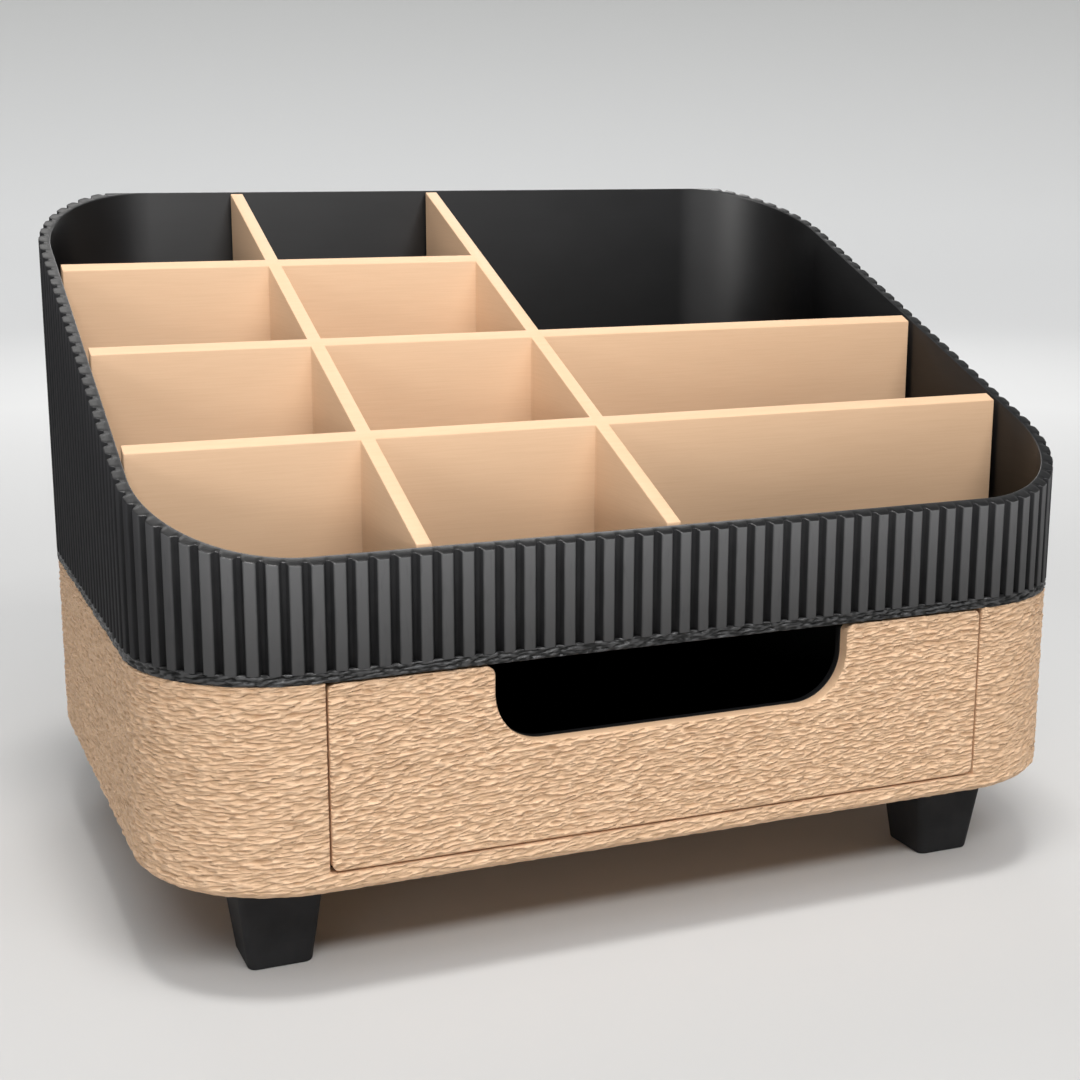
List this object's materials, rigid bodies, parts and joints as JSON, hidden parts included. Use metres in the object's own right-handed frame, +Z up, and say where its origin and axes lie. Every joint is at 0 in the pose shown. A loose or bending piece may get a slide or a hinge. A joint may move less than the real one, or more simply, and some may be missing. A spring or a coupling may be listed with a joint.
{
  "type": "vanity organizer with drawer",
  "caption": "Table-top vanity organizer: fluted tray with a slanted rim and lift-out dividers, on a rounded case with a sliding drawer and tapered feet.",
  "frame": {"origin": "on the floor, under the middle of the organizer", "axes": "+X along the width to the right, seen from the front; +Y to the back; +Z up; the drawer opens towards -Y"},
  "size_m": [0.2408, 0.1758, 0.1709],
  "materials": {
    "tan_rough": "rough, finely wrinkled printed skin",
    "tan_plain": "smooth matte with fine layer lines",
    "black_satin": "satin"
  },
  "bodies": {
    "case": {"base_case": "tan_rough", "upper_tray": "black_satin", "foot_front_left": "black_satin", "foot_front_right": "black_satin", "foot_rear_left": "black_satin", "foot_rear_right": "black_satin"},
    "drawer": {"drawer_box": "black_satin", "drawer_front": "tan_rough"},
    "insert": {"divider_insert": "tan_plain"}
  },
  "joints": [
    {"name": "drawer_slide", "type": "slide", "parent": "case", "child": "drawer", "axis": [0, -1, 0], "range_m": [0, 0.11]},
    {"name": "insert_lift", "type": "slide", "parent": "case", "child": "insert", "axis": [0, 0, 1], "range_m": [0, 0.1]}
  ]
}
